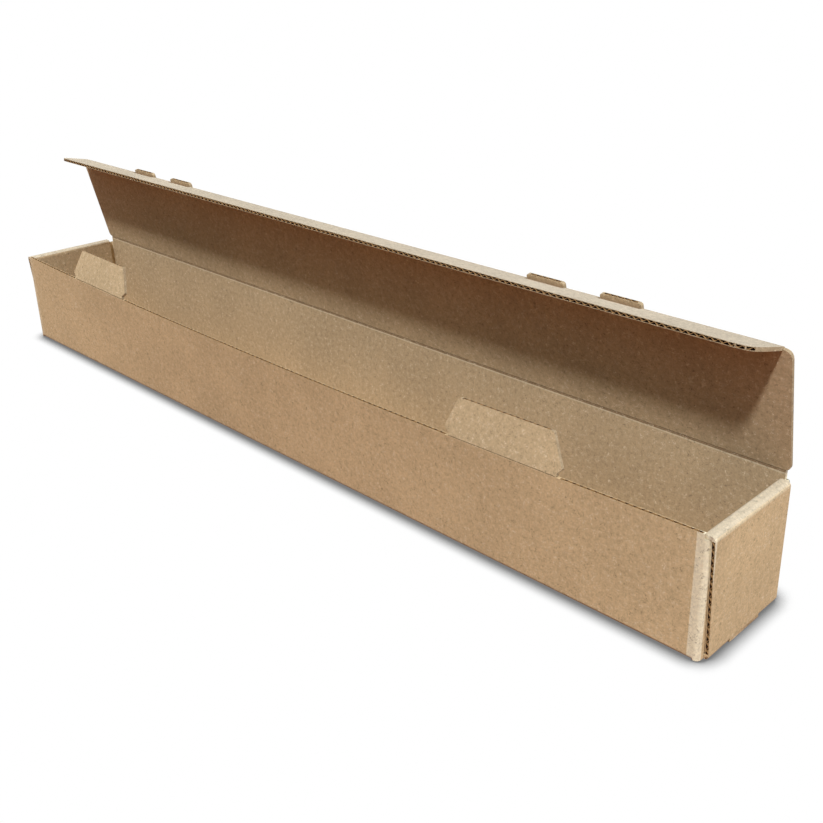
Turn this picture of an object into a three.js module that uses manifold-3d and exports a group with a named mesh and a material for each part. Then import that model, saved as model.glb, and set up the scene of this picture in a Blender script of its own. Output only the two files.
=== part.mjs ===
// Long shipping box of corrugated board: a folded tray with double end walls, a hinged lid with a
// tuck flap, and two locking tongues on the front wall. Millimetres, +Z up, the tray's base on Z = 0,
// X along the box, -Y the front. The lid stands open.
import * as THREE from 'three';
import { mergeVertices } from 'three/addons/utils/BufferGeometryUtils.js';
import Module from 'manifold-3d';

const wasm = await Module();
wasm.setup();

// Board
const boardThickness = 3;
const layerGap = 0.6;         // air between two layers folded against each other
const foldGap = 0.3;          // slit left at a fold that turns
const bendRadius = 2;         // of the board's middle line, at a square fold
const bendSteps = 5;

// Tray
const boxLength = 926;
const boxWidth = 110;
const frontWallHeight = 99.4;
const endWallHeight = 98.9;
const hingeHeight = 101.8;    // of the lid fold's axis
const frontWallBow = 11.5;       // how far the front wall's free edge bulges at mid length
const wallSteps = 16;
const cornerFoldRadius = 2.5; // of the board's middle line, at the four upright folds
const cornerFoldBase = 0.8;   // where the upright folds start above the floor
const endPanelFrontInset = 1.2;
const endPanelFootInset = 6.4;
const endPanelBackInset = 8.5;
const innerPanelFrontGap = 0.4;
const dustFlapReach = 51;
const dustFlapTaper = 6;
const lockTabWidth = 40;
const lockTabPlay = 0.4;

// Lid
const lidWidth = 918;
const lidOverhangCorner = 5;
const lidTopCorner = 7;
const lidRest = 12;           // degrees the open lid leans forward from upright
const slitTabWidth = 37;
const slitTabSpacing = 71;
const slitTabReach = 6;       // past the flap fold's axis
const slitTabCorner = 2.5;
const slitTabPlay = 0.5;

// Tuck flap
const flapLength = 36;        // from its fold's axis to its free edge
const flapWidth = 904;
const flapTaper = 5;
const flapCorner = 14;
const flapRest = 65;          // degrees the flap is folded from flat with the lid

// Locking tongues
const tongueCentre = 287;
const tongueNeckWidth = 103;
const tongueNeckHeight = 2.6;
const tongueShoulderWidth = 111;
const tongueShoulderHeight = 6.5;
const tongueTopWidth = 89;
const tongueHeight = 32;
const tongueCorner = 3;
const leftTongueTilt = 18;    // degrees each tongue leans in
const rightTongueTilt = 10;

// Worked out from the sizes above
const halfBoard = boardThickness / 2;
const halfLength = boxLength / 2;
const halfWidth = boxWidth / 2;
const layerStep = boardThickness + layerGap;
const dustFlapFace = halfLength - layerStep;
const uprightFoldStart = dustFlapFace - halfBoard - cornerFoldRadius;
const innerPanelFace = dustFlapFace - layerStep;
const innerPanelBack = innerPanelFace - boardThickness;
const stripUnderside = endWallHeight - boardThickness;
const endPanelBack = halfWidth - endPanelBackInset;
const endPanelFront = -halfWidth + endPanelFrontInset;
const innerPanelFront = -halfWidth + boardThickness + innerPanelFrontGap;
const hingeY = halfWidth - halfBoard;
const rootGap = halfBoard + foldGap;
// closed, a folded tongue and then the tuck flap stand behind the front wall, a fold gap apart
const closedFlapY = -halfWidth + boardThickness + (foldGap + boardThickness) + foldGap + halfBoard;
const flapAxisDistance = hingeY - closedFlapY;
const tongueAxisY = -halfWidth + boardThickness + foldGap / 2;
const tongueAxisZ = frontWallHeight + foldGap / 2;

function toSolid(geometry) {
  const bare = geometry.clone();
  bare.deleteAttribute('normal');
  bare.deleteAttribute('uv');
  const merged = mergeVertices(bare, 1e-4);
  const mesh = new wasm.Mesh({
    numProp: 3,
    vertProperties: new Float32Array(merged.attributes.position.array),
    triVerts: new Uint32Array(merged.index.array),
  });
  return new wasm.Manifold(mesh);
}

function toGeometry(solid) {
  const mesh = solid.getMesh();
  const geometry = new THREE.BufferGeometry();
  geometry.setAttribute('position', new THREE.BufferAttribute(new Float32Array(mesh.vertProperties), 3));
  geometry.setIndex(new THREE.BufferAttribute(new Uint32Array(mesh.triVerts), 1));
  const faceted = geometry.toNonIndexed();
  faceted.computeVertexNormals();
  return faceted;
}

const joined = (solids) => solids.reduce((sum, solid) => sum.add(solid));
const cutBy = (solid, tools) => tools.reduce((rest, tool) => rest.subtract(tool), solid);

function prism(shape, depth, steps = 1) {
  return new THREE.ExtrudeGeometry(shape, { depth, steps, bevelEnabled: false, curveSegments: bendSteps });
}

// A shape drawn as (Y, Z), run from x0 to x1
function alongX(shape, x0, x1, steps = 1) {
  const turn = new THREE.Matrix4().set(0, 0, 1, x0, 1, 0, 0, 0, 0, 1, 0, 0, 0, 0, 0, 1);
  return prism(shape, x1 - x0, steps).applyMatrix4(turn);
}

// A shape drawn as (X, Z), run from y0 to y1
function alongY(shape, y0, y1) {
  const turn = new THREE.Matrix4().set(1, 0, 0, 0, 0, 0, -1, y1, 0, 1, 0, 0, 0, 0, 0, 1);
  return prism(shape, y1 - y0).applyMatrix4(turn);
}

// A shape drawn as (X, Y), run from z0 to z1
function alongZ(shape, z0, z1) {
  return prism(shape, z1 - z0).translate(0, 0, z0);
}

function box(x0, x1, y0, y1, z0, z1) {
  const geometry = new THREE.BoxGeometry(x1 - x0, y1 - y0, z1 - z0);
  return geometry.translate((x0 + x1) / 2, (y0 + y1) / 2, (z0 + z1) / 2);
}

function polygon(points) {
  return new THREE.Shape(points.map(([x, y]) => new THREE.Vector2(x, y)));
}

// The outline of board that follows a middle line, with a round bend at each inner point
function foldedStrip(path, radius) {
  const points = path.map(([x, y]) => new THREE.Vector2(x, y));
  const spine = [];
  const last = points.length - 1;
  const heading = (i) => points[i + 1].clone().sub(points[i]).normalize();
  const addPoint = (at, direction) => spine.push({ at, side: new THREE.Vector2(-direction.y, direction.x) });
  addPoint(points[0], heading(0));
  for (let i = 1; i < last; i += 1) {
    const before = heading(i - 1);
    const after = heading(i);
    const turn = Math.atan2(before.cross(after), before.dot(after));
    const start = points[i].clone().addScaledVector(before, -radius * Math.tan(Math.abs(turn) / 2));
    const inward = new THREE.Vector2(-before.y, before.x).multiplyScalar(Math.sign(turn));
    const centre = start.clone().addScaledVector(inward, radius);
    for (let k = 0; k <= bendSteps; k += 1) {
      const angle = (turn * k) / bendSteps;
      const at = start.clone().rotateAround(centre, angle);
      addPoint(at, before.clone().rotateAround(new THREE.Vector2(), angle));
    }
  }
  addPoint(points[last], heading(last - 1));
  const left = spine.map(({ at, side }) => at.clone().addScaledVector(side, halfBoard));
  const right = spine.map(({ at, side }) => at.clone().addScaledVector(side, -halfBoard));
  return new THREE.Shape(right.concat(left.reverse()));
}

// A closed outline with each corner rounded by its own radius: points are [x, y, radius]
function roundedOutline(corners) {
  const shape = new THREE.Shape();
  const count = corners.length;
  corners.forEach(([x, y, radius = 0], i) => {
    const corner = new THREE.Vector2(x, y);
    const before = new THREE.Vector2(...corners[(i + count - 1) % count].slice(0, 2)).sub(corner).normalize();
    const after = new THREE.Vector2(...corners[(i + 1) % count].slice(0, 2)).sub(corner).normalize();
    const half = Math.acos(THREE.MathUtils.clamp(before.dot(after), -1, 1)) / 2;
    const reach = radius / Math.tan(half);
    const from = corner.clone().addScaledVector(before, reach);
    const to = corner.clone().addScaledVector(after, reach);
    if (i === 0) shape.moveTo(from.x, from.y);
    else shape.lineTo(from.x, from.y);
    if (radius > 0) shape.quadraticCurveTo(corner.x, corner.y, to.x, to.y);
  });
  shape.closePath();
  return shape;
}

// The half-round edge at a fold that turns
function roundEdge(x0, x1, y, z) {
  const disc = new THREE.Shape();
  disc.absarc(y, z, halfBoard, 0, Math.PI * 2);
  return alongX(disc, x0, x1);
}

// Bulges the front wall outward, most at mid length and at its free edge
function bowFrontWall(geometry) {
  const position = geometry.attributes.position;
  for (let i = 0; i < position.count; i += 1) {
    const x = position.getX(i);
    const y = position.getY(i);
    const rise = (position.getZ(i) - boardThickness - bendRadius) / (frontWallHeight - boardThickness - bendRadius);
    if (y < -halfWidth + boardThickness + foldGap && rise > 0) {
      const along = 1 - (x / uprightFoldStart) ** 2;
      position.setY(i, y - frontWallBow * along * rise);
    }
  }
  return geometry;
}

const bowAt = (x) => frontWallBow * (1 - (x / uprightFoldStart) ** 2);
const bowSlopeAt = (x) => (2 * frontWallBow * x) / uprightFoldStart ** 2;

// Everything of the tray at its right-hand end
function rightEnd() {
  const outer = halfLength - halfBoard;
  const inner = innerPanelFace - halfBoard;
  const floor = boardThickness + foldGap;
  const wrap = foldedStrip([
    [uprightFoldStart - bendRadius, halfBoard],
    [outer, halfBoard],
    [outer, endWallHeight - halfBoard],
    [inner, endWallHeight - halfBoard],
    [inner, floor],
  ], bendRadius);
  const footTaper = polygon([
    [-halfWidth - boardThickness, -1],
    [endPanelFront + endPanelFootInset, -1],
    [endPanelFront + endPanelFootInset, 0],
    [endPanelFront, endWallHeight],
    [-halfWidth - boardThickness, endWallHeight],
  ]);
  const reach = halfLength + 1;
  const dustFlapInner = dustFlapFace - boardThickness;
  const endWall = cutBy(toSolid(alongY(wrap, endPanelFront, endPanelBack)), [
    toSolid(alongX(footTaper, uprightFoldStart - bendRadius - 1, reach)),
    toSolid(box(0, uprightFoldStart + foldGap, -halfWidth, innerPanelFront, floor, endWallHeight + 1)),
    toSolid(box(0, dustFlapFace + foldGap, -halfWidth, innerPanelFront, floor, stripUnderside)),
    toSolid(box(innerPanelBack - lockTabPlay, innerPanelFace + lockTabPlay,
      -lockTabWidth / 2 - lockTabPlay, lockTabWidth / 2 + lockTabPlay, -1, boardThickness + foldGap / 2)),
  ]);
  const lockTab = toSolid(box(innerPanelBack, innerPanelFace, -lockTabWidth / 2, lockTabWidth / 2,
    foldGap, floor + 1));
  const squareFoot = toSolid(box(halfLength - boardThickness, halfLength, -lockTabWidth / 2, lockTabWidth / 2,
    0, boardThickness + bendRadius));
  const parts = [endWall, lockTab, squareFoot];
  for (const side of [-1, 1]) {
    const wallY = side * (halfWidth - halfBoard);
    const flapX = dustFlapFace - halfBoard;
    const tip = side * (halfWidth - dustFlapReach);
    const corner = foldedStrip([
      [uprightFoldStart - 1, wallY],
      [flapX, wallY],
      [flapX, wallY - side * (cornerFoldRadius + boardThickness)],
    ], cornerFoldRadius);
    parts.push(toSolid(alongZ(corner, cornerFoldBase, stripUnderside - layerGap)));
    const root = wallY - side * (cornerFoldRadius + 1);
    const flap = polygon([
      [root, floor + dustFlapTaper / 3],
      [tip, floor + dustFlapTaper],
      [tip, stripUnderside - layerGap - dustFlapTaper],
      [root, stripUnderside - layerGap],
    ]);
    parts.push(toSolid(alongX(flap, dustFlapInner, dustFlapFace)));
  }
  return joined(parts);
}

function buildTray() {
  const channel = foldedStrip([
    [-halfWidth + halfBoard, frontWallHeight],
    [-halfWidth + halfBoard, halfBoard],
    [halfWidth - halfBoard, halfBoard],
    [halfWidth - halfBoard, hingeHeight],
  ], bendRadius);
  const walls = toSolid(bowFrontWall(alongX(channel, -uprightFoldStart, uprightFoldStart, wallSteps)));
  const hingeEdge = toSolid(roundEdge(-uprightFoldStart, uprightFoldStart, hingeY, hingeHeight));
  const slotX = [innerPanelBack - lockTabPlay, innerPanelFace + lockTabPlay];
  const slotY = lockTabWidth / 2 + lockTabPlay;
  const slots = [-1, 1].map((side) => toSolid(box(
    Math.min(side * slotX[0], side * slotX[1]), Math.max(side * slotX[0], side * slotX[1]),
    -slotY, slotY, -1, boardThickness + foldGap / 2)));
  const end = rightEnd();
  return joined([cutBy(walls.add(hingeEdge), slots), end, end.mirror([1, 0, 0])]);
}

// The plates below are drawn in their own frames: X along the fold, Z away from it, the fold's axis at
// the origin and the board centred on it
function plate(outline, back = -halfBoard) {
  return toSolid(alongY(outline, back, back + boardThickness));
}

const tabCentres = [-1, 1].flatMap((side) => [-1, 1].map(
  (end) => side * tongueCentre + (end * slitTabSpacing) / 2));

function buildLid() {
  const half = lidWidth / 2;
  const panel = plate(roundedOutline([
    [-half, rootGap, lidOverhangCorner],
    [half, rootGap, lidOverhangCorner],
    [half, flapAxisDistance, lidTopCorner],
    [-half, flapAxisDistance, lidTopCorner],
  ]));
  const flapRoot = flapWidth / 2;
  const foldEdge = toSolid(roundEdge(-flapRoot, flapRoot, 0, flapAxisDistance));
  const tabs = tabCentres.map((x) => plate(roundedOutline([
    [x - slitTabWidth / 2, flapAxisDistance - boardThickness],
    [x + slitTabWidth / 2, flapAxisDistance - boardThickness],
    [x + slitTabWidth / 2, flapAxisDistance + slitTabReach, slitTabCorner],
    [x - slitTabWidth / 2, flapAxisDistance + slitTabReach, slitTabCorner],
  ])));
  return joined([panel, foldEdge, ...tabs]);
}

function buildTuckFlap() {
  const half = flapWidth / 2;
  const panel = plate(roundedOutline([
    [-half, rootGap],
    [half, rootGap],
    [half - flapTaper, flapLength, flapCorner],
    [-half + flapTaper, flapLength, flapCorner],
  ]));
  const slits = tabCentres.map((x) => toSolid(box(
    x - slitTabWidth / 2 - slitTabPlay, x + slitTabWidth / 2 + slitTabPlay,
    -boardThickness, boardThickness, 0, slitTabReach + slitTabPlay)));
  return cutBy(panel, slits);
}

function buildTongue() {
  const neck = tongueNeckWidth / 2;
  const shoulder = tongueShoulderWidth / 2;
  const top = tongueTopWidth / 2;
  const outline = roundedOutline([
    [-neck, foldGap / 2],
    [neck, foldGap / 2],
    [neck, tongueNeckHeight],
    [shoulder, tongueShoulderHeight, 1.5],
    [top, tongueHeight, tongueCorner],
    [-top, tongueHeight, tongueCorner],
    [-shoulder, tongueShoulderHeight, 1.5],
    [-neck, tongueNeckHeight],
  ]);
  return plate(outline, -foldGap / 2 - boardThickness);
}

const board = new THREE.MeshStandardMaterial({ color: 0xb79a72, roughness: 0.92, metalness: 0 });
const lidBoard = new THREE.MeshStandardMaterial({ color: 0xb2946b, roughness: 0.92, metalness: 0 });
const flapBoard = new THREE.MeshStandardMaterial({ color: 0xbfa47e, roughness: 0.92, metalness: 0 });
const tongueBoard = new THREE.MeshStandardMaterial({ color: 0xae9068, roughness: 0.92, metalness: 0 });

function namedMesh(name, solid, material) {
  const mesh = new THREE.Mesh(toGeometry(solid), material);
  mesh.name = name;
  return mesh;
}

const shippingBox = new THREE.Group();
shippingBox.add(namedMesh('tray', buildTray(), board));

const lidFold = new THREE.Group();
lidFold.position.set(0, hingeY, hingeHeight);
lidFold.rotation.x = THREE.MathUtils.degToRad(lidRest);
lidFold.add(namedMesh('lid_panel', buildLid(), lidBoard));
shippingBox.add(lidFold);

const flapFold = new THREE.Group();
flapFold.position.set(0, 0, flapAxisDistance);
flapFold.rotation.x = THREE.MathUtils.degToRad(flapRest);
flapFold.add(namedMesh('tuck_flap', buildTuckFlap(), flapBoard));
lidFold.add(flapFold);

const tongue = buildTongue();
for (const [name, side, tilt] of [['left', -1, leftTongueTilt], ['right', 1, rightTongueTilt]]) {
  const fold = new THREE.Group();
  fold.position.set(side * tongueCentre, tongueAxisY - bowAt(tongueCentre), tongueAxisZ);
  fold.rotation.set(THREE.MathUtils.degToRad(-tilt), 0, Math.atan(bowSlopeAt(side * tongueCentre)), 'ZYX');
  fold.add(namedMesh(`locking_tongue_${name}`, tongue, tongueBoard));
  shippingBox.add(fold);
}

export default shippingBox;
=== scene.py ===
"""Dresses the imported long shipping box: corrugated board with fluted cut edges, on a pale floor."""

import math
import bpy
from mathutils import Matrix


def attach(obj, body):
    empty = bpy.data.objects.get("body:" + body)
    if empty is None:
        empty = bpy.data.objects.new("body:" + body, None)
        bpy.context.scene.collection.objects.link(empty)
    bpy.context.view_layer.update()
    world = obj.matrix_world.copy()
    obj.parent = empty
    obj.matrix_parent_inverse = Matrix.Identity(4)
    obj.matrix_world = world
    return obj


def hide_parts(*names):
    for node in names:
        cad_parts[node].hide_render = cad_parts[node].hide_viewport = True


bl_info = {
    "name": "Long shipping box",
    "version": (1, 0, 0),
    "blender": (4, 5, 0),
    "location": "View3D > Sidebar > Shipping box",
    "description": "Corrugated board look for a long shipping box with a hinged lid",
    "category": "Object",
}

from collections import namedtuple
from functools import partial

import bmesh
import bpy
from mathutils import Matrix, Vector

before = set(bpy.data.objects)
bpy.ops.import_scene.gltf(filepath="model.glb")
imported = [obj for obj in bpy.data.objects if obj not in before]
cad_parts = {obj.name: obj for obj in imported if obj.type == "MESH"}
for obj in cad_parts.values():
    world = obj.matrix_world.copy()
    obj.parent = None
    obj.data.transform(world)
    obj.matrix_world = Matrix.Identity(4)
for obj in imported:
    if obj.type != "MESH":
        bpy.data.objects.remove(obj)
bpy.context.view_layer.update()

MM = 0.001

# the box's sizes, in mm, as its solids have them
BOARD = 3.0
HALF_BOARD = BOARD / 2
HALF_GAP = 0.15              # half the slit left at a fold that turns
HALF_LENGTH = 463.0
FRONT_Y = -55.0              # the front wall's outside, where it is straight
FRONT_TOP = 99.4
FRONT_BOW = 11.5             # how far the front wall's free edge bulges
BOW_SPAN = 455.4
FRONT_CUT_END = 454.0        # where its open edge stops, short of the corner fold
HINGE = Vector((0.0, 53.5, 101.8))
FLAP_FOLD = 100.4            # from the hinge to the flap's fold
FLAP_LENGTH = 36.0
FLAP_HALF_WIDTH = 448.9      # at its rounded corners
FLAP_CORNER = 14.0
TAB_REACH = 6.0
TAB_CUT = 30.0
TONGUE_X = 287.0
TONGUE_HEIGHT = 32.0
TONGUE_CUT = 82.0
TONGUE_ROOM = 54.5           # half the tongue's neck and a board's thickness beside it
TAB_STEP = 35.5              # each small tab's distance from the tongue's middle
TAB_X = [side * TONGUE_X + step for side in (-1, 1) for step in (-TAB_STEP, TAB_STEP)]

# how far each fold is turned at rest, in degrees
LID_REST = 12.0
FLAP_REST = 65.0
TONGUE_REST = {"left": 18.0, "right": 10.0}

# the end panels' upright cut edges, in mm: the front one is set further back at its foot
PANEL_FOOT_Y = -47.4
PANEL_HEAD_Y = -53.8
PANEL_TOP = 98.9
PANEL_CUT_MIDDLE = 0.505     # as a share of the height
PANEL_FRONT_CUT = 91.0
PANEL_BACK_Y = 46.5
PANEL_BACK_MIDDLE = 49.5
PANEL_BACK_CUT = 90.0

# where the tray's papers change, in mm
ROLLED_ABOVE = 97.4
ROLLED_FROM_X = 452.0
INSIDE_TO_X = 453.5
WALL_Y = 48.0
BASE_UNDER = 2.5
BASE_TOP = 5.0

# the flap's rounded corner is cut in two straight steps
CORNER_STEPS = (74.0, 46.0)
CORNER_CUT = 6.0
CORNER_CUT_DEPTH = 0.985     # as a share of the corner's radius

# from how many degrees on two faces meet in a sharp edge
SHARP_TRAY = 32              # so that its rolled folds look round
SHARP_PLATE = 12             # so that a plate's rounded corners look cut


class BoardSettings(bpy.types.PropertyGroup):
    """Sizes of the corrugated board, as its cut edges show them"""

    flute_pitch: bpy.props.FloatProperty(
        name="Flute pitch", description="From crest to crest of the fluted paper", default=6.2 * MM,
        min=0.002, max=0.012, unit="LENGTH")
    liner: bpy.props.FloatProperty(
        name="Liner thickness", description="Each flat outer paper at a cut edge", default=0.42 * MM,
        min=0.0002, max=0.001, unit="LENGTH")
    edge_depth: bpy.props.FloatProperty(
        name="Open edge depth", description="How far a cut edge can be looked into", default=3.0 * MM,
        min=0.001, max=0.006, unit="LENGTH")
    medium: bpy.props.FloatProperty(
        name="Fluted paper thickness", description="Drawn a little over its real 0.2 mm, to show",
        default=0.36 * MM, min=0.0001, max=0.001, unit="LENGTH")


class PaperSettings(bpy.types.PropertyGroup):
    """Colours of the papers"""

    outside: bpy.props.StringProperty(
        name="Outer liner", description="sRGB hex colour of the box's outside", default="D1B890")
    # painted darker and greyer than the outside, as shade inside the box
    inside: bpy.props.StringProperty(
        name="Inner liner", description="sRGB hex colour of the box's inside", default="BFA785")
    # pale crease colour: partly wear, partly painted highlight
    wear_and_highlight: bpy.props.StringProperty(
        name="Worn crease", description="sRGB hex colour of the paper stretched over a crease",
        default="EBE1C5")
    tongue: bpy.props.StringProperty(
        name="Tongue liner", description="sRGB hex colour of the tongues' handled outside",
        default="C4AE8A")
    # the strips' pale tone is painted sheen on their tops
    rolled: bpy.props.StringProperty(
        name="Rolled strip", description="sRGB hex colour of the strips on top of the end walls",
        default="CDC0A8")
    # the crease valley's dark line is painted shade
    valley: bpy.props.StringProperty(
        name="Crease valley", description="sRGB hex colour in the valley of the lid's crease",
        default="6E5238")
    cut: bpy.props.StringProperty(
        name="Cut edge", description="sRGB hex colour of an edge cut along the flutes", default="AC997C")
    # the flap's pale face is painted sheen
    flap: bpy.props.StringProperty(
        name="Flap liner", description="sRGB hex colour of the tuck flap's pale face",
        default="C6BAA6")
    fluting: bpy.props.StringProperty(
        name="Fluting", description="sRGB hex colour of the fluted paper", default="A88458")
    # the dark colour deep in the flutes is painted shade
    hollow: bpy.props.StringProperty(
        name="Hollow", description="sRGB hex colour deep in the flutes", default="4A3220")


class StageSettings(bpy.types.PropertyGroup):
    """The floor and the studio light"""

    sun: bpy.props.FloatProperty(
        name="Key light", description="Strength of the key light", default=2.95, min=0.0, max=10.0)
    sun_size: bpy.props.FloatProperty(
        name="Key size", description="How wide the key light looks, which softens its shadows",
        default=math.radians(5), min=0.0, max=math.pi, subtype="ANGLE")
    fill: bpy.props.FloatProperty(
        name="Side light", description="Strength of the wide light from the right", default=1.12,
        min=0.0, max=5.0)
    sky: bpy.props.FloatProperty(
        name="Studio light", description="Light from the ceiling", default=0.62, min=0.0, max=2.0)


def linear(hex_colour):
    """An sRGB hex colour as linear RGBA"""
    parts = [int(hex_colour[i:i + 2], 16) / 255 for i in (0, 2, 4)]
    return [c / 12.92 if c <= 0.04045 else ((c + 0.055) / 1.055) ** 2.4 for c in parts] + [1.0]


def add_node(tree, kind, inputs=(), **settings):
    """Adds a node: settings are its attributes, and each input is a value, a socket, or a node
    whose first output is meant"""
    made = tree.nodes.new(kind)
    for name, value in settings.items():
        setattr(made, name, value)
    for key, value in inputs.items() if isinstance(inputs, dict) else enumerate(inputs):
        if isinstance(value, bpy.types.Node):
            value = next(socket for socket in value.outputs if socket.enabled)
        if isinstance(value, bpy.types.NodeSocket):
            tree.links.new(value, made.inputs[key])
        else:
            made.inputs[key].default_value = value
    return made


def shaded(colour, factor):
    """A linear colour made darker or lighter, up to white"""
    return [min(1.0, part * factor) for part in colour[:3]] + [1.0]


def new_material(name):
    """An empty material"""
    material = bpy.data.materials.new(name)
    material.use_nodes = True
    material.node_tree.nodes.clear()
    return material


def finish_paper(material, colour, roughness, height, bump):
    """Ends a paper's node tree: colour, roughness and bump go to one shader"""
    node = partial(add_node, material.node_tree)
    relief = node("ShaderNodeBump", {"Height": height, "Strength": bump, "Distance": RELIEF})
    shader = node("ShaderNodeBsdfPrincipled", {
        "Base Color": colour, "Roughness": roughness, "Normal": relief,
        "IOR": PAPER_IOR, "Specular IOR Level": PAPER_SHEEN})
    node("ShaderNodeOutputMaterial", {"Surface": shader})


# the papers' patterns, in cells per metre
CLOUD_SCALE = 14.0           # clouds of pulp about 70 mm across
MOTTLE_SCALE = 520.0         # mottle of about 2 mm
FIBRE_SCALE = 300.0          # fibres 2 to 4 mm long
FIBRE_BREAK_SCALE = 230.0    # and where they end
SPECK_SCALE = 170.0          # at most one speck in each 6 mm
FLUTING_SCALE = 300.0        # patches of about 3 mm

# value ranges: from low, from high, and to low, to high where they aren't 0 and 1
CLOUDS = (0.35, 0.65)
GRAIN = (0.3, 0.7, 0.84, 1.15)
LINER_ROUGHNESS = (0.3, 0.7, 0.84, 0.95)
FLUTING_ROUGHNESS = (0.3, 0.7, 0.9, 1.0)
FIBRE_WIDTH = (0.004, 0.03, 1.0, 0.0)    # about 0.5 mm, since the real 0.03 mm wouldn't show
SPECK_RADIUS = (0.06, 0.13, 1.0, 0.0)    # in cells of 6 mm, so a speck is about 1 mm across
LIGHT_FIBRES = (0.54, 0.60, 0.0, 0.8)
DARK_FIBRES = (0.46, 0.40, 0.0, 0.75)
DARK_SPECKS = (0.87, 0.88, 0.0, 0.6)     # about one cell in eight
LIGHT_SPECKS = (0.09, 0.08, 0.0, 0.5)    # about one in twelve

LIGHT_FIBRE_COLOUR = "EADABC"
LIGHT_SPECK_COLOUR = "EDE2C8"

# how much darker or lighter than the paper itself
DARK_FIBRE_TONE = 0.42
DARK_SPECK_TONE = 0.3
CLOUD_TONES = (0.94, 1.05)
FLUTING_TONES = (0.8, 1.15)

# the relief of the paper's face; a matt uncoated paper has little gloss
RELIEF = 0.4 * MM
FIBRE_RELIEF = 0.35
FLUTE_RELIEF = 0.4
LINER_BUMP = 0.35
FLUTING_BUMP = 0.3
PAPER_IOR = 1.45
PAPER_SHEEN = 0.25

# a crease: across which axis and between which values it lies, on what side of the box it is,
# how much of the paper it changes, and to what colour
Crease = namedtuple("Crease", "axis low high side beyond share tone")
CREASE_SOFT = 0.4 * MM
# pale bands at the folds: partly wear, partly painted highlight of the rounded folds
CORNER_FOLD = (450.2 * MM, 464.0 * MM, "outward", 51.2 * MM)     # at the ends of the long walls
END_FOLD = (94.8 * MM, 110.0 * MM, "endward", 461.0 * MM)        # at the top of the end panels
HINGE_HIGHLIGHT_BAND = (100.0 * MM, 100.8 * MM, "outward", 49.0 * MM)      # inside, under the lid's crease: a line of painted highlight
# the crease's valley, painted dark as shade
HINGE_SHADE_BAND = (101.4 * MM, 102.0 * MM, "outward", 49.0 * MM)
# how strongly each pale fold band is laid on, wear and painted highlight together
RIGHT_CORNER_WEAR_AND_HIGHLIGHT = 0.95
LEFT_CORNER_WEAR_AND_HIGHLIGHT = 0.25
END_WEAR_AND_HIGHLIGHT = 0.4
# how strongly the hinge's painted highlight and painted shade are laid on
HINGE_HIGHLIGHT_SHARE = 0.35
VALLEY_SHADE = 0.75


def creased(tree, place, colour, creases):
    """The paper's colour with its creases on it: pale bands of wear and painted highlight, and a line of
    painted shade
    """
    node = partial(add_node, tree)
    axes = node("ShaderNodeSeparateXYZ", [place]).outputs
    ways = {
        "right": axes["X"],
        "left": node("ShaderNodeMath", [axes["X"], -1.0], operation="MULTIPLY"),
        "endward": node("ShaderNodeMath", [axes["X"]], operation="ABSOLUTE"),
        "outward": node("ShaderNodeMath", [axes["Y"]], operation="ABSOLUTE"),
        "up": axes["Z"]}
    for crease in creases:
        at = ways[crease.axis]
        above = node("ShaderNodeMapRange", [at, crease.low - CREASE_SOFT, crease.low])
        below = node("ShaderNodeMapRange", [at, crease.high, crease.high + CREASE_SOFT, 1.0, 0.0])
        on_side = node("ShaderNodeMapRange", [
            ways[crease.side], crease.beyond, crease.beyond + CREASE_SOFT, 0.0, crease.share])
        band = node("ShaderNodeMath", [above, below], operation="MULTIPLY")
        band = node("ShaderNodeMath", [band, on_side], operation="MULTIPLY")
        colour = node("ShaderNodeMix", {0: band, 6: colour, 7: crease.tone}, data_type="RGBA")
    return colour


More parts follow.
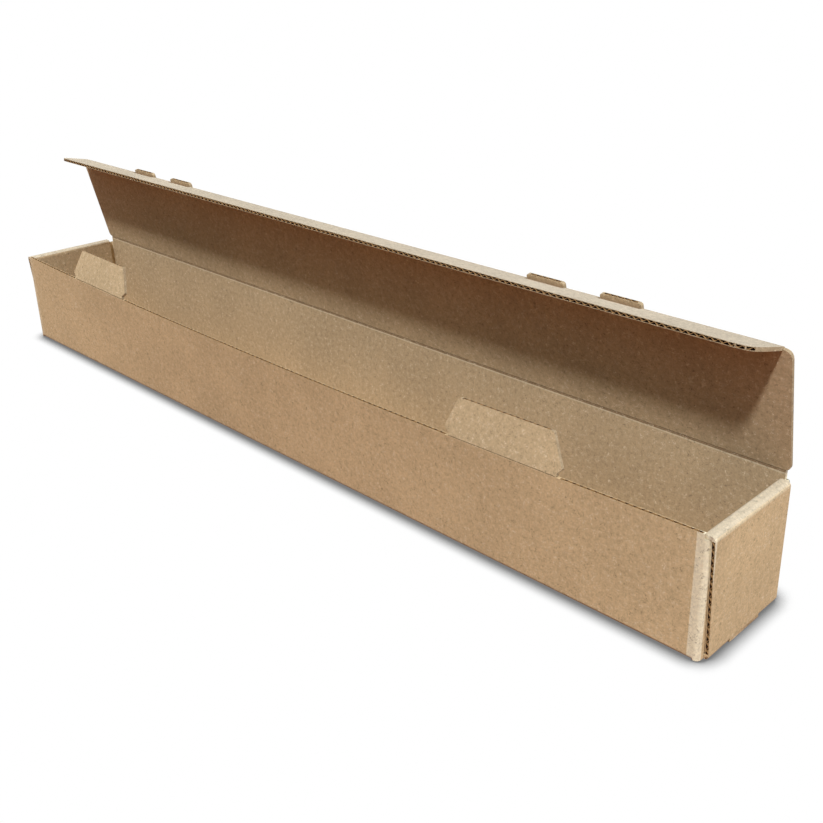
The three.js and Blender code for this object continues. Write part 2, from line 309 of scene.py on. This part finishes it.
def kraft_liner(name, base, pitch, creases=()):
    """Kraft liner: unbleached paper off a roll, matt, with fibres pressed flat in it"""
    material = new_material(name)
    tree = material.node_tree
    node = partial(add_node, tree)
    place = node("ShaderNodeTexCoord").outputs["Object"]
    # uneven pulp gives the eye soft clouds and a fine mottle
    cloud = node("ShaderNodeTexNoise", {"Vector": place, "Scale": CLOUD_SCALE, "Detail": 2.0})
    mottle = node("ShaderNodeTexNoise", {
        "Vector": place, "Scale": MOTTLE_SCALE, "Detail": 3.0, "Roughness": 0.65})
    # short bent fibres, some paler and some darker than the pulp
    strand = node("ShaderNodeTexNoise", {
        "Vector": place, "Scale": FIBRE_SCALE, "Detail": 1.0, "Roughness": 0.4, "Distortion": 1.4})
    broken = node("ShaderNodeTexNoise", {
        "Vector": place, "Scale": FIBRE_BREAK_SCALE, "Detail": 0.0})
    beside = node("ShaderNodeMath", [strand, 0.5], operation="SUBTRACT")
    beside = node("ShaderNodeMath", [beside], operation="ABSOLUTE")
    fibre = node("ShaderNodeMapRange", [beside, *FIBRE_WIDTH])
    # specks of bark and of bleached paper
    cell = node("ShaderNodeTexVoronoi", {
        "Vector": place, "Scale": SPECK_SCALE, "Randomness": 1.0}).outputs
    picked = node("ShaderNodeSeparateColor", [cell["Color"]]).outputs["Red"]
    speck = node("ShaderNodeMapRange", [cell["Distance"], *SPECK_RADIUS])

    clouded = node("ShaderNodeMapRange", [cloud, *CLOUDS])
    deep, pale = [shaded(base, tone) for tone in CLOUD_TONES]
    colour = node("ShaderNodeMix", {0: clouded, 6: deep, 7: pale}, data_type="RGBA")
    colour = creased(tree, place, colour, creases)
    grain = node("ShaderNodeMapRange", [mottle, *GRAIN])
    grain = node("ShaderNodeCombineColor", [grain, grain, grain])
    colour = node("ShaderNodeMix", {0: 1.0, 6: colour, 7: grain},
                  data_type="RGBA", blend_type="MULTIPLY")
    marks = (
        (fibre, broken, LIGHT_FIBRES, linear(LIGHT_FIBRE_COLOUR)),
        (fibre, broken, DARK_FIBRES, shaded(base, DARK_FIBRE_TONE)),
        (speck, picked, DARK_SPECKS, shaded(base, DARK_SPECK_TONE)),
        (speck, picked, LIGHT_SPECKS, linear(LIGHT_SPECK_COLOUR)))
    for mark, pattern, chosen, tone in marks:
        share = node("ShaderNodeMapRange", [pattern, *chosen])
        share = node("ShaderNodeMath", [mark, share], operation="MULTIPLY")
        colour = node("ShaderNodeMix", {0: share, 6: colour, 7: tone}, data_type="RGBA")

    # the liner sags a little between the flutes, which run up the walls
    along = node("ShaderNodeSeparateXYZ", [place]).outputs["X"]
    turn = node("ShaderNodeMath", [along, 2 * math.pi / pitch], operation="MULTIPLY")
    wave = node("ShaderNodeMath", [turn], operation="SINE")
    wave = node("ShaderNodeMath", [wave, FLUTE_RELIEF], operation="MULTIPLY")
    raised = node("ShaderNodeMath", [fibre, FIBRE_RELIEF], operation="MULTIPLY")
    height = node("ShaderNodeMath", [mottle, raised], operation="ADD")
    height = node("ShaderNodeMath", [height, wave], operation="ADD")
    roughness = node("ShaderNodeMapRange", [mottle, *LINER_ROUGHNESS])
    finish_paper(material, colour, roughness, height, LINER_BUMP)
    return material


def fluting_paper(name, base):
    """Fluting: recycled paper pressed in waves, rougher and darker than the liners"""
    material = new_material(name)
    node = partial(add_node, material.node_tree)
    place = node("ShaderNodeTexCoord").outputs["Object"]
    # its coarse pulp gives the eye dark and light patches along each wave
    mottle = node("ShaderNodeTexNoise", {"Vector": place, "Scale": FLUTING_SCALE, "Detail": 3.0})
    deep, pale = [shaded(base, tone) for tone in FLUTING_TONES]
    colour = node("ShaderNodeMix", {0: mottle, 6: deep, 7: pale}, data_type="RGBA")
    roughness = node("ShaderNodeMapRange", [mottle, *FLUTING_ROUGHNESS])
    finish_paper(material, colour, roughness, mottle, FLUTING_BUMP)
    return material


# the papers, each with what it gives the eye
LINERS = (
    "outer_liner",           # an even light brown
    "inner_liner",           # greyer and darker than the outside: painted shade for the box's inside
    "flap_painted_sheen",            # pale and grey: painted sheen on the flap's outer face
    "tongue_liner",          # a little darker and greyer than the wall
    "rolled_painted_sheen",          # pale and dull: painted sheen on the strips over the end walls
    "cut_edge")              # dull, with its three papers pressed together along the flutes
PAPERS = LINERS + (
    "fluting",               # redder than the liners
    "flute_painted_shade")          # dark brown: painted shade deep between the liners


def papers():
    """The box's papers, made once"""
    if "outer_liner" in bpy.data.materials:
        return {name: bpy.data.materials[name] for name in PAPERS}
    choice = bpy.context.scene.box_paper
    pitch = bpy.context.scene.box_board.flute_pitch
    wear_and_highlight = linear(choice.wear_and_highlight)
    # paper drawn over a crease goes pale, partly as wear and partly as a painted highlight of the
    # rounded fold, and the right corner gets the most
    outside_creases = [
        Crease("right", *CORNER_FOLD, RIGHT_CORNER_WEAR_AND_HIGHLIGHT, wear_and_highlight),
        Crease("left", *CORNER_FOLD, LEFT_CORNER_WEAR_AND_HIGHLIGHT, wear_and_highlight),
        Crease("up", *END_FOLD, END_WEAR_AND_HIGHLIGHT, wear_and_highlight)]
    # the lid's crease has a dark valley of painted shade, with a pale line of painted highlight under it
    hinge_creases = [
        Crease("up", *HINGE_HIGHLIGHT_BAND, HINGE_HIGHLIGHT_SHARE, wear_and_highlight),
        Crease("up", *HINGE_SHADE_BAND, VALLEY_SHADE, linear(choice.valley))]
    return {
        "outer_liner": kraft_liner("outer_liner", linear(choice.outside), pitch, outside_creases),
        "inner_liner": kraft_liner("inner_liner", linear(choice.inside), pitch, hinge_creases),
        "flap_painted_sheen": kraft_liner("flap_painted_sheen", linear(choice.flap), pitch),
        "tongue_liner": kraft_liner("tongue_liner", linear(choice.tongue), pitch),
        "rolled_painted_sheen": kraft_liner("rolled_painted_sheen", linear(choice.rolled), pitch),
        "cut_edge": kraft_liner("cut_edge", linear(choice.cut), pitch),
        "fluting": fluting_paper("fluting", linear(choice.fluting)),
        "flute_painted_shade": fluting_paper("flute_painted_shade", linear(choice.hollow)),
    }


MERGE_DISTANCE = 0.002 * MM
CUT_MARGIN = 1.0 * MM        # how far a cutter stands out of the board
BOW_STEPS = 24
STEPS_PER_FLUTE = 8.0


def to_object(name, data):
    """A mesh, lamp or lens as an object in the scene"""
    made = bpy.data.objects.new(name, data)
    bpy.context.scene.collection.objects.link(made)
    return made


def evaluated(piece):
    """The piece with its modifiers made plain mesh, and the modifiers gone"""
    graph = bpy.context.evaluated_depsgraph_get()
    mesh = bpy.data.meshes.new_from_object(piece.evaluated_get(graph), depsgraph=graph)
    piece.modifiers.clear()
    old = piece.data
    piece.data = mesh
    bpy.data.meshes.remove(old)
    return piece


def copy_of_node(name, node):
    """A CAD node's mesh as an object of its own, with its loose triangles merged"""
    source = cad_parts[node]
    mesh = source.data.copy()
    mesh.transform(source.matrix_world)
    mesh.materials.clear()
    shape = bmesh.new()
    shape.from_mesh(mesh)
    bmesh.ops.remove_doubles(shape, verts=shape.verts, dist=MERGE_DISTANCE)
    shape.to_mesh(mesh)
    shape.free()
    return to_object(name, mesh)


def open_edge(origin, along, inward, length, bow_centre=None):
    """A cut edge that shows flutes: its middle, its direction and the way into the board, in mm"""
    return {
        "origin": Vector(origin), "along": Vector(along).normalized(),
        "inward": Vector(inward).normalized(), "length": length, "bow": bow_centre}


def edge_matrix(edge):
    """From an edge's own frame, in metres, to the box's"""
    across = edge["along"].cross(edge["inward"]).normalized()
    turn = Matrix((edge["along"], edge["inward"], across)).transposed().to_4x4()
    return Matrix.Translation(edge["origin"] * MM) @ turn


def bulge(edge, x):
    """How far the front wall's bow moves a point of the edge outward, in metres"""
    if edge["bow"] is None:
        return 0.0
    return FRONT_BOW * MM * (1 - ((x / MM + edge["bow"]) / BOW_SPAN) ** 2)


def trench(edge, board):
    """The room between the liners at a cut edge, as a closed mesh to cut with"""
    shape = bmesh.new()
    half = edge["length"] / 2 * MM
    room = HALF_BOARD * MM - board.liner
    steps = BOW_STEPS if edge["bow"] is not None else 1
    rings = []
    for i in range(steps + 1):
        x = -half + 2 * half * i / steps
        out = bulge(edge, x)
        corners = [(-CUT_MARGIN, -room), (board.edge_depth, -room),
                   (board.edge_depth, room), (-CUT_MARGIN, room)]
        rings.append([shape.verts.new((x, y, z + out)) for y, z in corners])
    for first, second in zip(rings, rings[1:]):
        for k in range(4):
            shape.faces.new((first[k], first[(k + 1) % 4], second[(k + 1) % 4], second[k]))
    shape.faces.new(rings[0][::-1])
    shape.faces.new(rings[-1])
    bmesh.ops.recalc_face_normals(shape, faces=shape.faces)
    mesh = bpy.data.meshes.new("trench")
    shape.to_mesh(mesh)
    shape.free()
    mesh.transform(edge_matrix(edge))
    return mesh


def flute_tree():
    """Geometry nodes for a row of flutes: a strip of paper in waves, following the edge's bow"""
    if "flute_row" in bpy.data.node_groups:
        return bpy.data.node_groups["flute_row"]
    tree = bpy.data.node_groups.new("flute_row", "GeometryNodeTree")
    sockets = tree.interface
    sockets.new_socket(name="Geometry", in_out="INPUT", socket_type="NodeSocketGeometry")
    for label, value in (("Length", 0.1), ("Depth", 0.003), ("Pitch", 0.0062), ("Height", 0.001),
                         ("Bow", 0.0), ("Bow centre", 0.0), ("Bow span", 1.0)):
        made = sockets.new_socket(name=label, in_out="INPUT", socket_type="NodeSocketFloat")
        made.default_value = value
    sockets.new_socket(name="Paper", in_out="INPUT", socket_type="NodeSocketMaterial")
    sockets.new_socket(name="Geometry", in_out="OUTPUT", socket_type="NodeSocketGeometry")
    node = partial(add_node, tree)
    given = node("NodeGroupInput").outputs

    flutes = node("ShaderNodeMath", [given["Length"], given["Pitch"]], operation="DIVIDE")
    steps = node("ShaderNodeMath", [flutes, STEPS_PER_FLUTE], operation="MULTIPLY")
    steps = node("ShaderNodeMath", [steps], operation="ROUND")
    samples = node("ShaderNodeMath", [steps, 1.0], operation="ADD")
    strip = node("GeometryNodeMeshGrid", {
        "Size X": given["Length"], "Size Y": given["Depth"], "Vertices X": samples, "Vertices Y": 2})
    x = node("ShaderNodeSeparateXYZ", [node("GeometryNodeInputPosition")]).outputs["X"]
    turn = node("ShaderNodeMath", [x, given["Pitch"]], operation="DIVIDE")
    turn = node("ShaderNodeMath", [turn, 2 * math.pi], operation="MULTIPLY")
    wave = node("ShaderNodeMath", [turn], operation="SINE")
    wave = node("ShaderNodeMath", [wave, given["Height"]], operation="MULTIPLY")
    along = node("ShaderNodeMath", [x, given["Bow centre"]], operation="ADD")
    along = node("ShaderNodeMath", [along, given["Bow span"]], operation="DIVIDE")
    square = node("ShaderNodeMath", [along, along], operation="MULTIPLY")
    bow = node("ShaderNodeMath", [1.0, square], operation="SUBTRACT")
    bow = node("ShaderNodeMath", [bow, given["Bow"]], operation="MULTIPLY")
    inward = node("ShaderNodeMath", [given["Depth"], 0.5], operation="MULTIPLY")
    outward = node("ShaderNodeMath", [wave, bow], operation="ADD")
    lift = node("ShaderNodeCombineXYZ", {"Y": inward, "Z": outward})
    moved = node("GeometryNodeSetPosition", {"Geometry": strip, "Offset": lift})
    real = node("GeometryNodeRealizeInstances", {"Geometry": moved})
    papered = node("GeometryNodeSetMaterial", {"Geometry": real, "Material": given["Paper"]})
    node("NodeGroupOutput", {"Geometry": papered})
    return tree


def flute_row(edge, board, paper):
    """One row of flutes as a mesh in its place"""
    holder = to_object("flutes", bpy.data.meshes.new("flutes"))
    tree = flute_tree()
    maker = holder.modifiers.new("flutes", "NODES")
    maker.node_group = tree
    bowed = edge["bow"] is not None
    values = {
        "Length": edge["length"] * MM, "Depth": board.edge_depth, "Pitch": board.flute_pitch,
        "Height": HALF_BOARD * MM - board.liner - board.medium / 2,
        "Bow": FRONT_BOW * MM if bowed else 0.0,
        "Bow centre": edge["bow"] * MM if bowed else 0.0,
        "Bow span": BOW_SPAN * MM, "Paper": paper}
    for item in tree.interface.items_tree:
        if item.in_out == "INPUT" and item.name in values:
            maker[item.identifier] = values[item.name]
    thick = holder.modifiers.new("thickness", "SOLIDIFY")
    thick.thickness = board.medium
    thick.offset = 0.0
    evaluated(holder)
    mesh = holder.data
    if not mesh.polygons:
        raise RuntimeError("a row of flutes came out empty")
    bpy.data.objects.remove(holder)
    mesh.transform(edge_matrix(edge))
    return mesh


def joined_meshes(name, meshes):
    """Several meshes as one, with the first one's materials"""
    shape = bmesh.new()
    for mesh in meshes:
        shape.from_mesh(mesh)
    whole = bpy.data.meshes.new(name)
    shape.to_mesh(whole)
    shape.free()
    for material in meshes[0].materials:
        whole.materials.append(material)
    for mesh in meshes:
        bpy.data.meshes.remove(mesh)
    return whole


def open_the_edges(piece, edges, board, made):
    """Cuts the room between the liners along each edge of the piece"""
    for name in LINERS:
        piece.data.materials.append(made[name])
    piece.data.materials.append(made["flute_painted_shade"])
    trenches = joined_meshes("trenches", [trench(edge, board) for edge in edges])
    cutter = to_object("trenches", trenches)
    # the faces the cut leaves get the painted shade
    cutter.data.materials.append(made["flute_painted_shade"])
    cut = piece.modifiers.new("open edges", "BOOLEAN")
    cut.operation = "DIFFERENCE"
    cut.object = cutter
    cut.solver = "EXACT"
    cut.use_self = True
    cut.material_mode = "TRANSFER"
    evaluated(piece)
    bpy.data.objects.remove(cutter)
    hollow = piece.data.materials.find("flute_painted_shade")
    if not any(polygon.material_index == hollow for polygon in piece.data.polygons):
        raise RuntimeError(f"{piece.name}: its cut edges weren't opened")


def smooth_folds(piece, angle):
    """Soft shading where faces meet at less than the angle, with the flat faces kept flat"""
    mesh = piece.data
    mesh.shade_smooth()
    mesh.set_sharp_from_angle(angle=math.radians(angle))
    weighted = piece.modifiers.new("flat faces", "WEIGHTED_NORMAL")
    weighted.keep_sharp = True
    weighted.weight = 100
    evaluated(piece)


def paper_sides(piece, paper_of):
    """Gives each face that has liner on it the paper that suits its place and the way it faces"""
    names = [slot.name for slot in piece.data.materials]
    for polygon in piece.data.polygons:
        if names[polygon.material_index] in LINERS:
            paper = paper_of(polygon.center / MM, polygon.normal)
            polygon.material_index = names.index(paper)


def dress(name, node, body, edges, paper_of, angle=SHARP_PLATE):
    """A board piece in place of its CAD node, with its rows of flutes"""
    board = bpy.context.scene.box_board
    made = papers()
    piece = copy_of_node(name, node)
    open_the_edges(piece, edges, board, made)
    paper_sides(piece, paper_of)
    smooth_folds(piece, angle)
    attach(piece, body)
    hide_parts(node)
    flutes = [flute_row(edge, board, made["fluting"]) for edge in edges]
    rows = to_object(f"{name}_flutes", joined_meshes(f"{name}_flutes", flutes))
    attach(rows, body)


def tilt(degrees):
    """A turn about the X axis"""
    return Matrix.Rotation(math.radians(degrees), 4, "X")


def lid_place():
    """The lid's own frame: the hinge axis at its origin, Z up the panel, in mm"""
    return Matrix.Translation(HINGE) @ tilt(LID_REST)


def flap_place():
    """The flap's own frame: its fold at the origin, Z towards its free edge, in mm"""
    return lid_place() @ Matrix.Translation((0, 0, FLAP_FOLD)) @ tilt(FLAP_REST)


def tongue_place(side):
    """A tongue's own frame: its fold at the origin, Z up the tongue, in mm"""
    sign = -1 if side == "left" else 1
    out = FRONT_BOW * (1 - (TONGUE_X / BOW_SPAN) ** 2)
    slope = 2 * FRONT_BOW * sign * TONGUE_X / BOW_SPAN ** 2
    turn = Matrix.Rotation(math.atan(slope), 4, "Z")
    at = (sign * TONGUE_X, FRONT_Y + BOARD + HALF_GAP - out, FRONT_TOP + HALF_GAP)
    return Matrix.Translation(at) @ turn @ tilt(-TONGUE_REST[side])


def placed_edge(place, origin, length):
    """An edge drawn in a piece's own frame, along X with the board below it"""
    turn = place.to_3x3()
    along = turn @ Vector((1, 0, 0))
    inward = turn @ Vector((0, 0, -1))
    return open_edge(place @ Vector(origin), along, inward, length)


def corner_edges(place):
    """The flap's two rounded corners, each as short straight cuts"""
    edges = []
    turn = place.to_3x3()
    for side in (-1, 1):
        centre = Vector((side * (FLAP_HALF_WIDTH - FLAP_CORNER), 0, FLAP_LENGTH - FLAP_CORNER))
        for degrees in CORNER_STEPS:
            angle = math.radians(degrees)
            way = Vector((side * math.cos(angle), 0, math.sin(angle)))
            along = way.cross(Vector((0, 1, 0)))
            middle = place @ (centre + way * FLAP_CORNER * CORNER_CUT_DEPTH)
            edges.append(open_edge(middle, turn @ along, turn @ -way, CORNER_CUT))
    return edges


def tray_edges():
    """The front wall's free edge between the tongues, and the end panels' upright edges"""
    edges = []
    inner = TONGUE_X - TONGUE_ROOM
    outer = TONGUE_X + TONGUE_ROOM
    for low, high in ((-FRONT_CUT_END, -outer), (-inner, inner), (outer, FRONT_CUT_END)):
        middle = (low + high) / 2
        origin = (middle, FRONT_Y + HALF_BOARD, FRONT_TOP)
        # drawn from right to left, so that the bow goes outward
        edges.append(open_edge(origin, (-1, 0, 0), (0, 0, -1), high - low, -middle))
    for side in (-1, 1):
        x = side * (HALF_LENGTH - HALF_BOARD)
        foot = Vector((x, PANEL_FOOT_Y, 0.0))
        head = Vector((x, PANEL_HEAD_Y, PANEL_TOP))
        rise = (head - foot).normalized()
        middle = foot.lerp(head, PANEL_CUT_MIDDLE)
        inward = Vector((0, rise.z, -rise.y))
        edges.append(open_edge(middle, rise, inward, PANEL_FRONT_CUT))
        back = (x, PANEL_BACK_Y, PANEL_BACK_MIDDLE)
        edges.append(open_edge(back, (0, 0, 1), (0, -1, 0), PANEL_BACK_CUT))
    return edges


FACING = 0.5                 # a face turned less than 60 degrees away from a direction


def tray_paper(at, normal):
    """The paper on one of the tray's faces, from its place in mm and the way it faces"""
    if at.z > ROLLED_ABOVE and abs(at.x) > ROLLED_FROM_X:
        return "rolled_painted_sheen"
    front = normal.y > FACING and at.y < -WALL_Y
    back = normal.y < -FACING and at.y > WALL_Y
    ends = abs(normal.x) > FACING and normal.x * at.x < 0
    base = normal.z > FACING and at.z < BASE_TOP
    inside = abs(at.x) < INSIDE_TO_X and at.z > BASE_UNDER and (front or back or ends or base)
    return "inner_liner" if inside else "outer_liner"


def two_sided(under, outer):
    """The papers of a flat panel: inner liner on its under side, and plain cut edges"""
    def paper_of(at, normal):
        facing = normal.dot(under)
        if abs(facing) < FACING:
            return "cut_edge"
        return "inner_liner" if facing > 0 else outer
    return paper_of


class BOX_OT_tray(bpy.types.Operator):
    """The folded tray: base, walls, locked double ends, dust flaps"""

    bl_idname = "box.tray"
    bl_label = "Tray"

    def execute(self, context):
        dress("tray_board", "tray", "tray", tray_edges(), tray_paper, SHARP_TRAY)
        return {"FINISHED"}


class BOX_OT_lid(bpy.types.Operator):
    """The lid panel with the small tabs left by the slits at its front crease"""

    bl_idname = "box.lid"
    bl_label = "Lid"

    def execute(self, context):
        place = lid_place()
        under = place.to_3x3() @ Vector((0, -1, 0))
        edges = [placed_edge(place, (x, 0, FLAP_FOLD + TAB_REACH), TAB_CUT) for x in TAB_X]
        papers_of_lid = two_sided(under, "outer_liner")
        dress("lid_board", "lid_panel", "lid", edges, papers_of_lid)
        return {"FINISHED"}


class BOX_OT_tuck_flap(bpy.types.Operator):
    """The tuck flap along the lid's front edge"""

    bl_idname = "box.tuck_flap"
    bl_label = "Tuck flap"

    def execute(self, context):
        place = flap_place()
        under = place.to_3x3() @ Vector((0, -1, 0))
        straight = 2 * (FLAP_HALF_WIDTH - FLAP_CORNER)
        edges = [placed_edge(place, (0, 0, FLAP_LENGTH), straight)] + corner_edges(place)
        papers_of_flap = two_sided(under, "flap_painted_sheen")
        dress("tuck_flap_board", "tuck_flap", "flap", edges, papers_of_flap)
        return {"FINISHED"}


class BOX_OT_tongues(bpy.types.Operator):
    """The two locking tongues on the front wall"""

    bl_idname = "box.tongues"
    bl_label = "Locking tongues"

    def execute(self, context):
        for side in ("left", "right"):
            place = tongue_place(side)
            inward = place.to_3x3() @ Vector((0, 1, 0))
            top = (0, -HALF_BOARD - HALF_GAP, TONGUE_HEIGHT)
            edges = [placed_edge(place, top, TONGUE_CUT)]
            dress(f"{side}_tongue_board", f"locking_tongue_{side}", f"{side}_tongue",
                  edges, two_sided(inward, "tongue_liner"))
        return {"FINISHED"}


FLOOR_HALF = 12.0            # metres
FLOOR_DROP = 0.2 * MM        # below the box, so that the two don't share a face
FLOOR_BOUNCE = "86573C"
SHADE_REACH = 15.0 * MM
SHADE = (0.5, 0.96, 0.2, 1.0)    # from how open the floor is there, to how white it looks
CEILING_EDGE = 0.02
KEY_FROM = (0.24, -0.49, 0.83)
SIDE_FROM = (0.98, 0.12, 0.2)
SIDE_SIZE = math.radians(24)
SIDE_TINT = (0.95, 1.0, 1.04)

# the camera, fitted to the box's corners: lengths of the picture are in its pixels
PICTURE_WIDTH = 823.0
FOCAL_LENGTH = 1056.8642
PICTURE_SHIFT = (-63.375, -31.625)
SENSOR = 36.0                # mm
CAMERA_PLACE = (0.7415295, -0.5789327, 0.4568896)
CAMERA_HEADING = 0.7469484
CAMERA_TILT = 1.1635947
CAMERA_ROLL = -0.0038761


def seen_directly(tree):
    """1 where the camera, a reflection or glass looks at a surface, and 0 where it lights the box"""
    rays = add_node(tree, "ShaderNodeLightPath").outputs
    indirect = add_node(tree, "ShaderNodeMath", [
        rays["Is Glossy Ray"], rays["Is Transmission Ray"]], operation="MAXIMUM")
    return add_node(tree, "ShaderNodeMath", [rays["Is Camera Ray"], indirect], operation="MAXIMUM")


class BOX_OT_stage(bpy.types.Operator):
    """Pale floor, plain studio light and the camera"""

    bl_idname = "box.stage"
    bl_label = "Floor, light and camera"

    def execute(self, context):
        self.floor()
        self.light(context, context.scene.box_stage)
        self.camera(context)
        return {"FINISHED"}

    def floor(self):
        """A large sheet of matt white paper under the box"""
        mesh = bpy.data.meshes.new("floor")
        far = FLOOR_HALF
        corners = [(-far, -far, 0), (far, -far, 0), (far, far, 0), (-far, far, 0)]
        mesh.from_pydata(corners, [], [(0, 1, 2, 3)])
        mesh.transform(Matrix.Translation((0, 0, -FLOOR_DROP)))
        floor = to_object("floor", mesh)
        material = new_material("white_paper_sweep")
        tree = material.node_tree
        node = partial(add_node, tree)
        # the camera sees white with a soft shade close to the box, and the box gets brown light
        shade = node("ShaderNodeAmbientOcclusion", {"Distance": SHADE_REACH},
                     samples=16, only_local=False)
        near = node("ShaderNodeMapRange", [shade.outputs["AO"], *SHADE])
        white = node("ShaderNodeCombineColor", [near, near, near])
        seen = node("ShaderNodeEmission", {"Color": white, "Strength": 1.0})
        bounce = node("ShaderNodeBsdfDiffuse", {"Color": linear(FLOOR_BOUNCE)})
        both = node("ShaderNodeMixShader", [seen_directly(tree), bounce, seen])
        node("ShaderNodeOutputMaterial", {"Surface": both})
        mesh.materials.append(material)

    def light(self, context, settings):
        """A soft ceiling, a key light above the front and a wide light from the right end"""
        world = bpy.data.worlds.new("studio")
        context.scene.world = world
        world.use_nodes = True
        tree = world.node_tree
        tree.nodes.clear()
        node = partial(add_node, tree)
        # the ceiling is brightest overhead and fades to almost nothing at the walls
        way = node("ShaderNodeTexCoord").outputs["Generated"]
        rise = node("ShaderNodeSeparateXYZ", [way]).outputs["Z"]
        ceiling = node("ShaderNodeMapRange", [rise, 0.0, 1.0, CEILING_EDGE, settings.sky])
        strength = node("ShaderNodeMix", {0: seen_directly(tree), 2: ceiling, 3: 1.0})
        even = node("ShaderNodeBackground", {"Color": [1, 1, 1, 1], "Strength": strength})
        node("ShaderNodeOutputWorld", {"Surface": even})
        self.lamp("key", KEY_FROM, settings.sun, settings.sun_size)
        self.lamp("side_fill", SIDE_FROM, settings.fill, SIDE_SIZE, SIDE_TINT)

    def lamp(self, name, from_where, energy, angle, colour=(1.0, 1.0, 1.0)):
        """One far lamp, which shines on the whole box alike"""
        light = bpy.data.lights.new(name, "SUN")
        light.color = colour
        light.energy = energy
        light.angle = angle
        lamp = to_object(name, light)
        lamp.rotation_euler = Vector(from_where).to_track_quat("Z", "Y").to_euler()

    def camera(self, context):
        """The photograph's camera; it was cropped from a larger picture, off its middle"""
        lens = bpy.data.cameras.new("camera")
        lens.sensor_fit = "HORIZONTAL"
        lens.sensor_width = SENSOR
        lens.lens = SENSOR * FOCAL_LENGTH / PICTURE_WIDTH
        lens.shift_x = PICTURE_SHIFT[0] / PICTURE_WIDTH
        lens.shift_y = PICTURE_SHIFT[1] / PICTURE_WIDTH
        lens.clip_start = 0.01
        lens.clip_end = 50.0
        camera = to_object("camera", lens)
        turn = (Matrix.Rotation(CAMERA_HEADING, 4, "Z") @ Matrix.Rotation(CAMERA_TILT, 4, "X")
                @ Matrix.Rotation(CAMERA_ROLL, 4, "Z"))
        camera.matrix_world = Matrix.Translation(CAMERA_PLACE) @ turn
        context.scene.camera = camera
        context.scene.view_settings.view_transform = "Standard"


class BOX_PT_panel(bpy.types.Panel):
    """Lists the box's pieces and its settings"""

    bl_label = "Shipping box"
    bl_idname = "BOX_PT_panel"
    bl_space_type = "VIEW_3D"
    bl_region_type = "UI"
    bl_category = "Shipping box"

    def draw(self, context):
        column = self.layout.column()
        for operator in PIECES:
            column.operator(operator.bl_idname)
        for group in (context.scene.box_board, context.scene.box_paper, context.scene.box_stage):
            for name in group.__annotations__:
                column.prop(group, name)


PIECES = (BOX_OT_tray, BOX_OT_lid, BOX_OT_tuck_flap, BOX_OT_tongues, BOX_OT_stage)
SETTINGS = (("box_board", BoardSettings), ("box_paper", PaperSettings), ("box_stage", StageSettings))


def register():
    """Makes the settings, the operators and the panel known"""
    for name, group in SETTINGS:
        bpy.utils.register_class(group)
        setattr(bpy.types.Scene, name, bpy.props.PointerProperty(type=group))
    for operator in PIECES:
        bpy.utils.register_class(operator)
    bpy.utils.register_class(BOX_PT_panel)


def unregister():
    """Takes them away again"""
    bpy.utils.unregister_class(BOX_PT_panel)
    for operator in reversed(PIECES):
        bpy.utils.unregister_class(operator)
    for name, group in reversed(SETTINGS):
        delattr(bpy.types.Scene, name)
        bpy.utils.unregister_class(group)


def main():
    """Makes the stage and the box"""
    register()
    bpy.ops.box.stage()
    bpy.ops.box.tray()
    bpy.ops.box.lid()
    bpy.ops.box.tuck_flap()
    bpy.ops.box.tongues()


if __name__ == "__main__":
    main()
